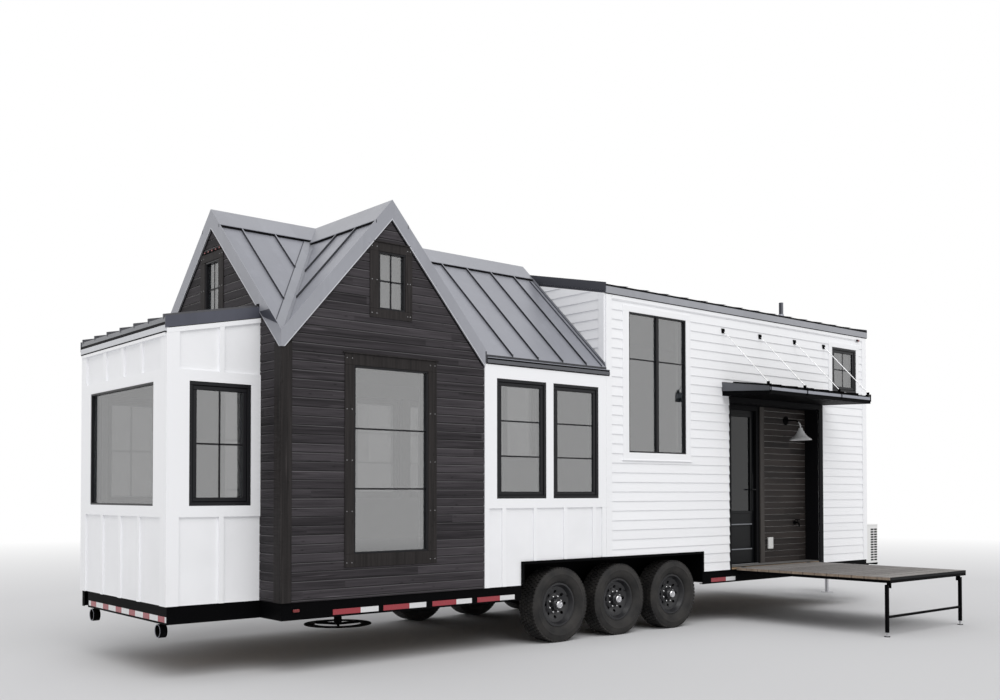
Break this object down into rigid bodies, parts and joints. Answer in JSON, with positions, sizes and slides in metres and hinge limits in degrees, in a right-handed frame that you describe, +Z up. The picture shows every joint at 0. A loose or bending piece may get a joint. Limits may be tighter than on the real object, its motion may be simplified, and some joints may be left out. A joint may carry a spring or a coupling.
{
  "type": "tiny house on wheels",
  "caption": "Small house on a wheeled trailer: cross-gabled rear with a square bay, low middle, tall front with a recessed entry, awning and fold-up deck.",
  "frame": {"origin": "on the ground under the middle of the whole outline, deck down and tongue included", "axes": "+X along the house towards the tongue, +Y from the entry side to the far side, +Z up"},
  "size_m": [11.245, 4.608, 4.1148],
  "materials": {
    "black_steel": "satin black paint",
    "bright_steel": "zinc plated",
    "interior_floor": "sealed boards",
    "dark_siding": "dark stained boards",
    "white_siding": "white painted boards",
    "black_trim": "black painted trim",
    "grey_roof": "light grey coated sheet",
    "dark_roof": "dark grey coated sheet",
    "window_black": "black frame",
    "window_glass": "clear glass",
    "lamp_grey": "galvanised grey",
    "condenser_white": "white enclosure",
    "door_black": "satin black paint",
    "handle_black": "matt black",
    "deck_wood": "weathered boards",
    "tyre": "rubber",
    "rim_black": "gloss black steel",
    "interior_wall": "pale interior lining",
    "red_lens": "red lens",
    "reflective_tape_red": "red reflective tape",
    "reflective_tape_white": "white reflective tape",
    "white_plastic": "white plastic",
    "chrome_cap": "bright cap",
    "rubber_seal": "black seal"
  },
  "bodies": {
    "house": {"chassis_rails": "black_steel", "cross_members": "black_steel", "side_channels": "black_steel", "tongue": "black_steel", "coupler": "black_steel", "tongue_jack": "black_steel", "axles": "black_steel", "wheel_wells": "black_steel", "tail_lights": "black_steel", "floor": "interior_floor", "near_gable_wall": "dark_siding", "near_low_wall": "white_siding", "near_tall_wall": "white_siding", "near_header_wall": "white_siding", "near_front_wall": "white_siding", "recess_returns": "black_trim", "recess_wall": "dark_siding", "door_frame": "black_trim", "far_gable_wall": "dark_siding", "far_low_wall": "white_siding", "far_tall_wall": "white_siding", "front_wall": "white_siding", "rear_gable_wall": "dark_siding", "rear_wall_sides": "dark_siding", "tall_end_walls": "white_siding", "bay_side_walls": "white_siding", "bay_end_wall": "white_siding", "cross_gable_roof": "grey_roof", "tall_roof": "dark_roof", "bay_roof": "dark_roof", "roof_trim": "grey_roof", "window_frames": "window_black", "window_glass": "window_glass", "awning": "black_steel", "awning_stays": "black_steel", "barn_lamp": "lamp_grey", "ac_unit": "condenser_white", "deck_hinges": "black_steel"},
    "door": {"entry_door": "door_black", "door_glass": "window_glass", "door_handle": "handle_black"},
    "deck": {"deck_frame": "black_steel", "deck_boards": "deck_wood"},
    "legs": {"deck_legs": "black_steel"},
    "jack": {"jack_leg": "bright_steel"},
    "wheel_near_rear": {"tyre_near_rear": "tyre", "rim_near_rear": "rim_black"},
    "wheel_near_middle": {"tyre_near_middle": "tyre", "rim_near_middle": "rim_black"},
    "wheel_near_front": {"tyre_near_front": "tyre", "rim_near_front": "rim_black"},
    "wheel_far_rear": {"tyre_far_rear": "tyre", "rim_far_rear": "rim_black"},
    "wheel_far_middle": {"tyre_far_middle": "tyre", "rim_far_middle": "rim_black"},
    "wheel_far_front": {"tyre_far_front": "tyre", "rim_far_front": "rim_black"}
  },
  "joints": [
    {"name": "door_hinge", "type": "hinge", "parent": "house", "child": "door", "pos_m": [1.1495, -0.034, 1.6], "axis": [0, 0, 1], "range_deg": [0, 90]},
    {"name": "deck_hinge", "type": "hinge", "parent": "house", "child": "deck", "pos_m": [1.9925, -0.346, 0.612], "axis": [-1, 0, 0], "range_deg": [0, 80]},
    {"name": "leg_hinge", "type": "hinge", "parent": "deck", "child": "legs", "pos_m": [1.9925, -2.249, 0.526], "axis": [1, 0, 0], "range_deg": [0, 90]},
    {"name": "jack_slide", "type": "slide", "parent": "house", "child": "jack", "axis": [0, 0, 1], "range_m": [0, 0.28]},
    {"name": "wheel_near_rear_spin", "type": "hinge", "parent": "house", "child": "wheel_near_rear", "pos_m": [-1.6475, -0.2165, 0.376], "axis": [0, 1, 0], "continuous": true},
    {"name": "wheel_near_middle_spin", "type": "hinge", "parent": "house", "child": "wheel_near_middle", "pos_m": [-0.7835, -0.2165, 0.376], "axis": [0, 1, 0], "continuous": true},
    {"name": "wheel_near_front_spin", "type": "hinge", "parent": "house", "child": "wheel_near_front", "pos_m": [0.0805, -0.2165, 0.376], "axis": [0, 1, 0], "continuous": true},
    {"name": "wheel_far_rear_spin", "type": "hinge", "parent": "house", "child": "wheel_far_rear", "pos_m": [-1.6475, 2.1685, 0.376], "axis": [0, 1, 0], "continuous": true},
    {"name": "wheel_far_middle_spin", "type": "hinge", "parent": "house", "child": "wheel_far_middle", "pos_m": [-0.7835, 2.1685, 0.376], "axis": [0, 1, 0], "continuous": true},
    {"name": "wheel_far_front_spin", "type": "hinge", "parent": "house", "child": "wheel_far_front", "pos_m": [0.0805, 2.1685, 0.376], "axis": [0, 1, 0], "continuous": true}
  ]
}
